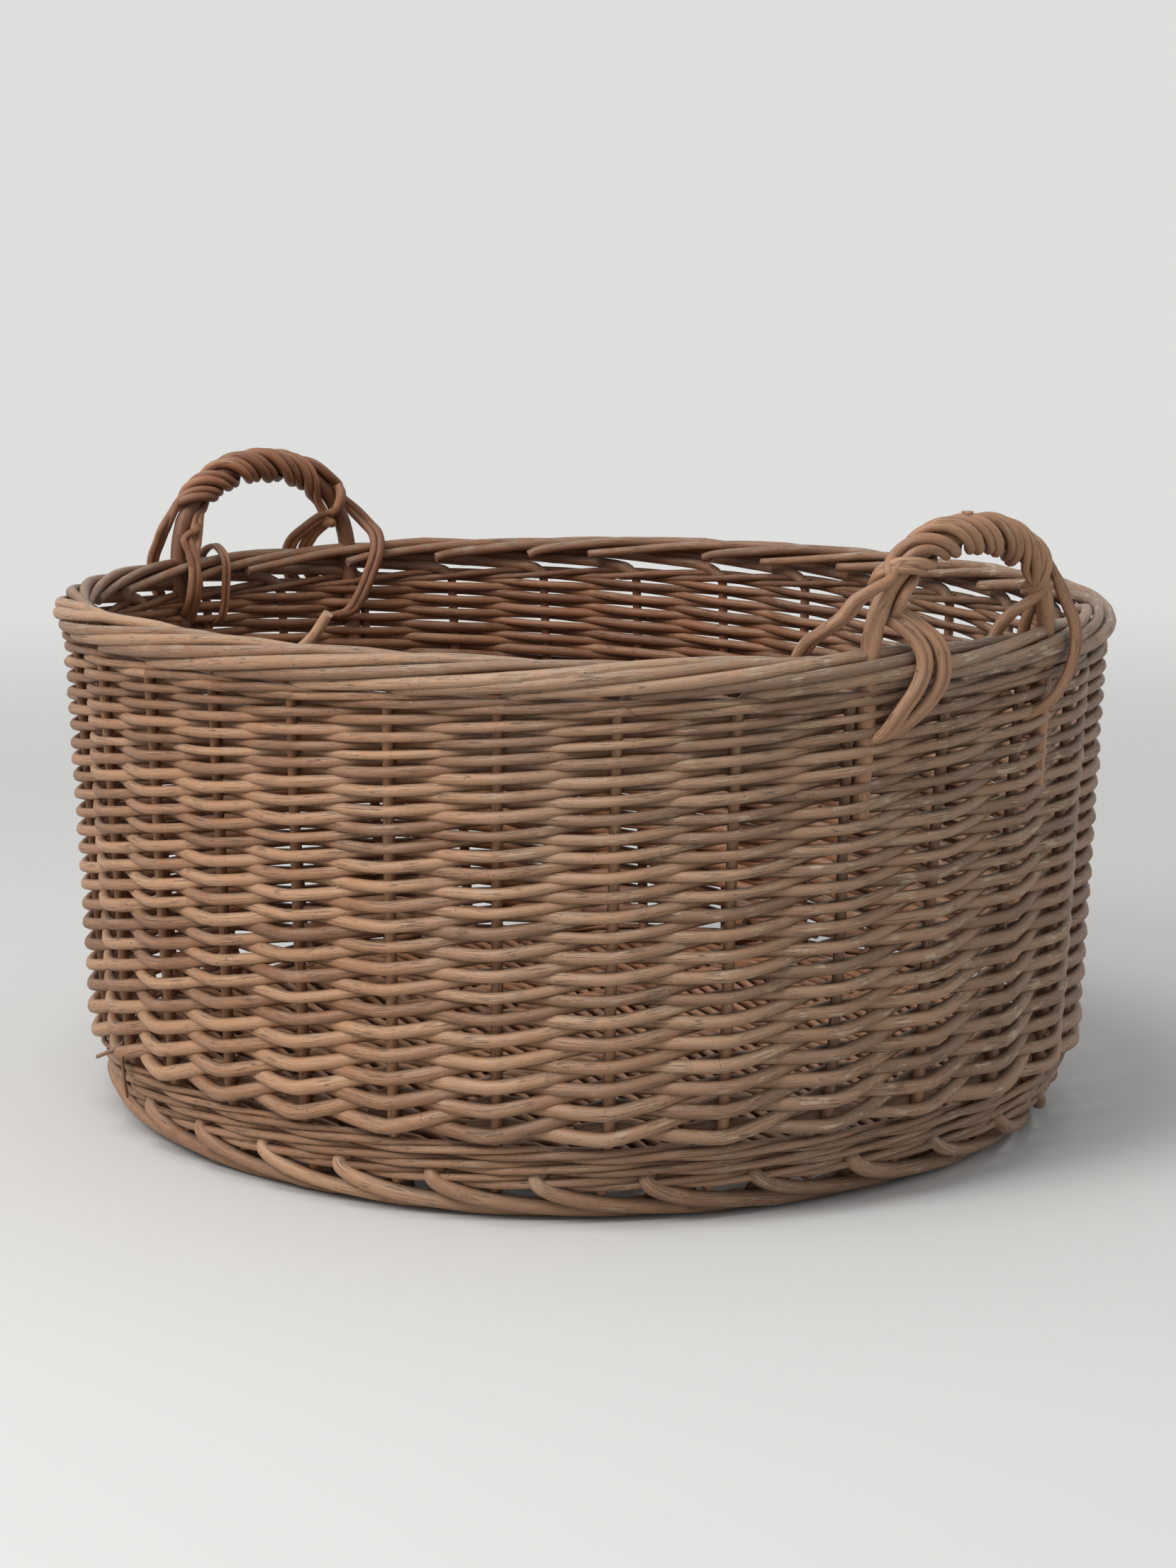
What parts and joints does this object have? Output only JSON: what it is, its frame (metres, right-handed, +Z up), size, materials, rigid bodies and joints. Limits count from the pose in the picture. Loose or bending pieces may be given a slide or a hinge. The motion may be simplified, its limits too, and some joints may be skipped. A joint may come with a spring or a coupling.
{
  "type": "oval willow laundry basket",
  "caption": "Oval woven willow laundry basket, open at the top, with a rolled border, a foot and a roped bow handle at each end.",
  "frame": {"origin": "on the ground, under the middle of the basket", "axes": "+X along the oval's long axis, towards one handle; +Z up, out of the basket's mouth"},
  "size_m": [0.7828, 0.6928, 0.447],
  "materials": {
    "willow_weave": "matt, weathered brown willow bark",
    "willow_stakes": "matt, weathered brown willow bark",
    "willow_border": "matt, weathered brown willow bark",
    "willow_foot": "matt, weathered brown willow bark",
    "willow_base": "matt, weathered brown willow bark",
    "willow_handle": "matt, weathered brown willow bark"
  },
  "bodies": {
    "root": {"base_cross_sticks": "willow_base", "base_long_stick_1": "willow_base", "base_long_stick_2": "willow_base", "base_long_stick_3": "willow_base", "base_weave": "willow_base", "border_inner_rod_1": "willow_border", "border_inner_rod_2": "willow_border", "border_outer_rod_1": "willow_border", "border_outer_rod_2": "willow_border", "border_outer_rod_3": "willow_border", "foot_inner_rod": "willow_foot", "foot_outer_rod_lower": "willow_foot", "foot_outer_rod_upper": "willow_foot", "foot_pegs": "willow_foot", "left_handle_bow": "willow_handle", "left_handle_tails": "willow_handle", "left_handle_wrap": "willow_handle", "lower_wale": "willow_weave", "randing_set_1": "willow_weave", "randing_set_2": "willow_weave", "randing_set_3": "willow_weave", "right_handle_bow": "willow_handle", "right_handle_tails": "willow_handle", "right_handle_wrap": "willow_handle", "stake_01": "willow_stakes", "stake_02": "willow_stakes", "stake_03": "willow_stakes", "stake_04": "willow_stakes", "stake_05": "willow_stakes", "stake_06": "willow_stakes", "stake_07": "willow_stakes", "stake_08": "willow_stakes", "stake_09": "willow_stakes", "stake_10": "willow_stakes", "stake_11": "willow_stakes", "stake_12": "willow_stakes", "stake_13": "willow_stakes", "stake_14": "willow_stakes", "stake_15": "willow_stakes", "stake_16": "willow_stakes", "stake_17": "willow_stakes", "stake_18": "willow_stakes", "stake_19": "willow_stakes", "stake_20": "willow_stakes", "stake_21": "willow_stakes", "stake_22": "willow_stakes", "stake_23": "willow_stakes", "stake_24": "willow_stakes", "stake_25": "willow_stakes", "stake_26": "willow_stakes", "stake_27": "willow_stakes", "stake_28": "willow_stakes", "stake_29": "willow_stakes", "stake_30": "willow_stakes", "top_wale": "willow_weave"}
  },
  "joints": []
}
